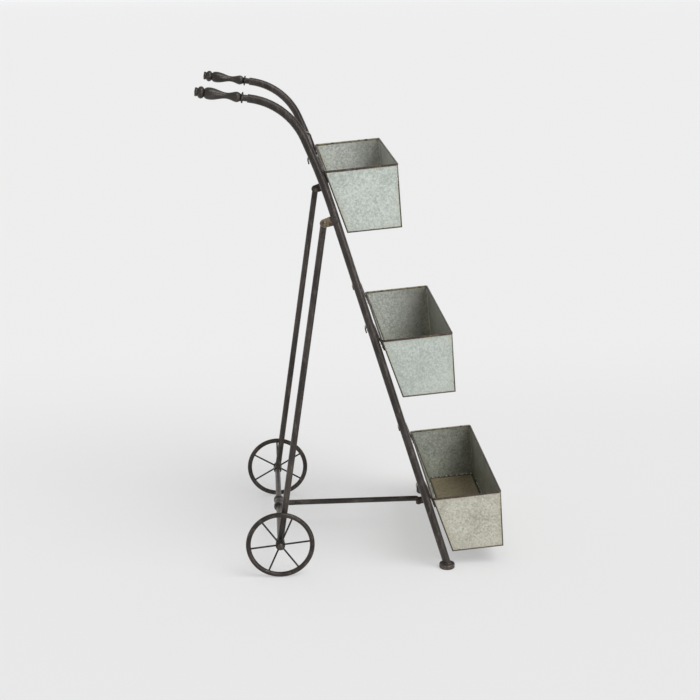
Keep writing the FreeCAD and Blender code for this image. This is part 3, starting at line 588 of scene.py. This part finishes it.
def tapered_box(made, spread, top, bottom):
    """Planter-shaped block between two depths, spread outwards from the middle of the sheet."""
    verts = bmesh.ops.create_cube(made, size=2.0)["verts"]
    upper = [vert for vert in verts if vert.co.z > 0]
    lower = [vert for vert in verts if vert.co.z < 0]
    for level_verts, depth in ((upper, top), (lower, bottom)):
        share = depth / planter_height
        back = -planter_back_slope * share + spread
        front = -planter_depth + planter_front_slope * share - spread
        half = planter_rim_half + (planter_floor_half - planter_rim_half) * share + spread
        for vert in level_verts:
            vert.co = (vert.co.x * half, (back + front) / 2 + vert.co.y * (back - front) / 2, -depth)
    made.normal_update()


def planter_walls(level):
    """Four walls of sheet with folded corners; the edge value fades inwards from every edge."""
    made = bmesh.new()
    edge_value = made.verts.layers.float.new("edge")
    front_shade_value = made.verts.layers.float.new("front_shade")
    tapered_box(made, planter_sheet / 2, 0.0, planter_height)
    ends = [face for face in made.faces if abs(face.normal.z) > nearly_level]
    bmesh.ops.delete(made, geom=ends, context="FACES")
    # the lower and back edges take a higher value: stain with painted shade added
    for vert in made.verts:
        stain_and_shade = vert.co.z < -planter_height / 2 or vert.co.y > -planter_depth / 2
        vert[edge_value] = stain_and_shade_edge if stain_and_shade else 1.0
    corners = []
    for line in made.edges:
        if abs((line.verts[0].co - line.verts[1].co).z) > planter_height / 2:
            corners.append(line)
    for band, value in ((edge_band, band_edge), (patina_band - edge_band, 0.0)):
        walls = [face for face in made.faces if face.calc_area() > least_wall]
        bmesh.ops.inset_individual(made, faces=walls, thickness=band, use_even_offset=True)
        for face in walls:
            for vert in face.verts:
                vert[edge_value] = value
    bmesh.ops.bevel(made, geom=corners, offset=corner_fold, offset_type="OFFSET", segments=3, profile=0.5,
                    affect="EDGES", clamp_overlap=True, material=-1)
    bmesh.ops.recalc_face_normals(made, faces=made.faces)
    bmesh.ops.solidify(made, geom=made.faces[:], thickness=planter_sheet)
    middle = Vector((0.0, -planter_depth * 0.55, -planter_height / 2))
    for face in made.faces:
        inward = middle - face.calc_center_median()
        inward.z = 0.0
        face.material_index = 1 if face.normal.dot(inward) > 0 and abs(face.normal.z) < steep else 0
    # painted shade: 0 at the back, rising to 1 at the front wall, which shades the inside
    for vert in made.verts:
        vert[front_shade_value] = min(1.0, max(0.0, -vert.co.y / planter_depth))
    hang(made, level)
    return made


def planter_laps(level):
    """Flap of each end wall, folded in and soldered down on the front wall beside the corner."""
    made = bmesh.new()
    front_shade_value = made.verts.layers.float.new("front_shade")
    upper = lap_inset
    lower = planter_height - floor_height - lap_inset
    for side in (-1, 1):
        outline = []
        for depth, width in ((upper, 0.0), (upper, lap_width), (lower, lap_width), (lower, 0.0)):
            share = depth / planter_height
            half = planter_rim_half + (planter_floor_half - planter_rim_half) * share - planter_sheet
            front = -planter_depth + planter_front_slope * share + lap_seat
            outline.append(made.verts.new((side * (half - width), front, -depth)))
        flap = made.faces.new(outline)
        raised = bmesh.ops.extrude_face_region(made, geom=[flap])["geom"]
        verts = [item for item in raised if isinstance(item, bmesh.types.BMVert)]
        bmesh.ops.translate(made, vec=(0.0, lap_thickness, 0.0), verts=verts)
    # the laps in the front corners take part of the painted shade
    for vert in made.verts:
        vert[front_shade_value] = lap_front_shade
    bmesh.ops.recalc_face_normals(made, faces=made.faces)
    bmesh.ops.bevel(made, geom=made.edges[:], offset=lap_ease, offset_type="OFFSET", segments=1, profile=0.5,
                    affect="EDGES", clamp_overlap=True, material=-1)
    hang(made, level)
    return made


def planter_floor(level):
    """Floor of the planter with its soldered edge turned up against the walls."""
    made = bmesh.new()
    edge_value = made.verts.layers.float.new("edge")
    underside = planter_height - floor_height
    tapered_box(made, -floor_gap, underside - floor_thickness, underside)
    lid = [face for face in made.faces if face.normal.z > nearly_level]
    for vert in made.verts:
        vert[edge_value] = 1.0
    bmesh.ops.inset_region(made, faces=lid, thickness=solder_width, use_even_offset=True)
    low = bmesh.ops.extrude_face_region(made, geom=lid)["geom"]
    low_verts = [item for item in low if isinstance(item, bmesh.types.BMVert)]
    bmesh.ops.delete(made, geom=lid, context="FACES")
    bmesh.ops.translate(made, vec=(0.0, 0.0, -solder_height), verts=low_verts)
    sunk = [item for item in low if isinstance(item, bmesh.types.BMFace)]
    bmesh.ops.inset_region(made, faces=sunk, thickness=patina_band, use_even_offset=True)
    for face in sunk:
        for vert in face.verts:
            vert[edge_value] = 0.0
    for face in made.faces:
        face.material_index = 0 if face.calc_center_median().z < solder_reach - underside else 1
    bmesh.ops.recalc_face_normals(made, faces=made.faces)
    hang(made, level)
    return made


solder = Finish("planter_solder", 0.5, 0.5)
solder_scale = 160.0
solder_stretch = (0.4, 1.0, 1.0)
solder_breaks = solder.rise(solder.cloud(solder.place(solder_stretch), solder_scale, 3.0), 0.44, 0.56)
solder_colour = solder.mix(solder_breaks, linear(138, 133, 114), linear(238, 240, 236))
solder_relief = 0.0004
solder_finish = solder.done(solder_colour, 0.42, solder_breaks, solder_relief, 0.6)
rightwards = Vector((1.0, 0.0, 0.0))
right_rim = (0.208, 0.212)       # where the lighter tone of the right-hand rims begins and is full
stain_finish = bronze("rim_bronze", linear(56, 46, 41), linear(78, 64, 56), linear(116, 100, 82), 0.44,
                      lighter_part=(rightwards, *right_rim, linear(158, 152, 130)))

for level in levels:
    pale, grey, patina = zinc_tones[level]
    outside = zinc(level + "_zinc", pale, grey, patina, stain_tone, 0.50, 0.15)
    inside = zinc(level + "_inside_zinc", *inside_tones[level], stain_tone, 0.55, 0.15, inside_painted_shade[level])
    inside_edge = inside_tones[level][2]
    bottom = zinc(level + "_floor_zinc", floor_pale, floor_grey, inside_edge, stain_tone, 0.62, 0.10)
    walls = finished_object(level + "_planter_walls", planter_walls(level), [outside, inside], crease_angle)
    floor_plate = finished_object(level + "_planter_floor", planter_floor(level), [bottom, solder_finish],
                                  crease_angle)
    laps = finished_object(level + "_planter_laps", planter_laps(level), [inside], crease_angle)
    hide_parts(level + "_planter")
    for piece in (walls, floor_plate, laps):
        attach(piece, level + "_planter")
    nodes[level + "_planter_bead"].material_slots[0].material = stain_finish

# ---------------------------------------------------------------- planter hooks
# Two bent straps of galvanised steel, riveted under the back rim of each planter, which hang it on its
# crossbar. Their flat sides are dull zinc, and their cut edges have gone dark.

hook_edge = 0.0004
sideways = 0.7                   # least sideways part of a cut edge's normal
hook_finish = zinc("hook_zinc", linear(170, 170, 158), linear(128, 126, 112), linear(140, 128, 96),
                   stain_tone, 0.46, 0.4)
rivet_finish = zinc("rivet_zinc", linear(180, 182, 172), linear(140, 140, 130), linear(140, 128, 96),
                    stain_tone, 0.42, 0.4)
for level in levels:
    hooks = eased_copy(level + "_planter_hooks", hook_edge, hook_finish, level + "_planter")
    hooks.data.materials.append(stain_finish)
    for face in hooks.data.polygons:
        face.material_index = 1 if abs(face.normal.x) > sideways else 0
    nodes[level + "_planter_rivets"].material_slots[0].material = rivet_finish
